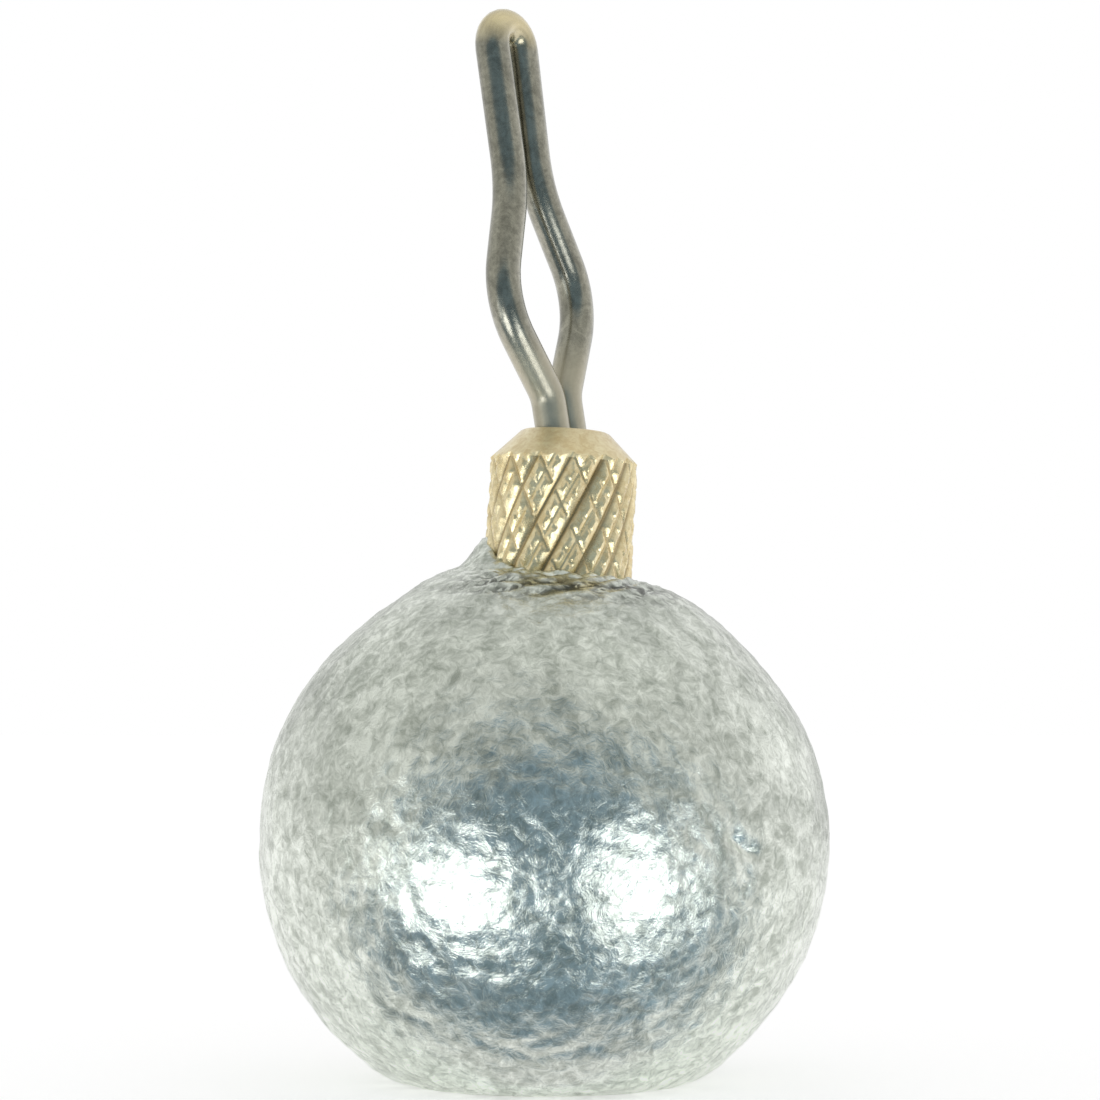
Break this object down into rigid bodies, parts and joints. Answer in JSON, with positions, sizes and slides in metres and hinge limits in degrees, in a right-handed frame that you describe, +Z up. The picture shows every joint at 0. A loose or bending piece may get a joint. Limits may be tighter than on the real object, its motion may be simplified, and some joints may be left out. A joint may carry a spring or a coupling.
{
  "type": "fishing sinker",
  "caption": "Ball sinker with a small flat foot, a knurled brass swivel barrel cast into its crown and a pinched wire line clip that turns in the barrel.",
  "frame": {"origin": "middle of the flat under the ball, which is also the middle of the bounding box's base", "axes": "+Z up, square to the flat; +X to the right and +Y away from the viewer as the picture shows the sinker; the barrel's axis leans 3.1 degrees from +Z towards +X and passes through the ball's centre"},
  "size_m": [0.0122, 0.0122, 0.0232],
  "materials": {
    "lead": "dull cast lead",
    "brass": "knurled and turned brass",
    "wire": "dark drawn wire"
  },
  "bodies": {
    "sinker": {"lead_ball": "lead", "swivel_barrel": "brass"},
    "clip": {"line_clip": "wire"}
  },
  "joints": [
    {"name": "clip_swivel", "type": "hinge", "parent": "sinker", "child": "clip", "pos_m": [0, 0, 0.00514], "axis": [0.0541, 0, 0.9985], "continuous": true}
  ]
}
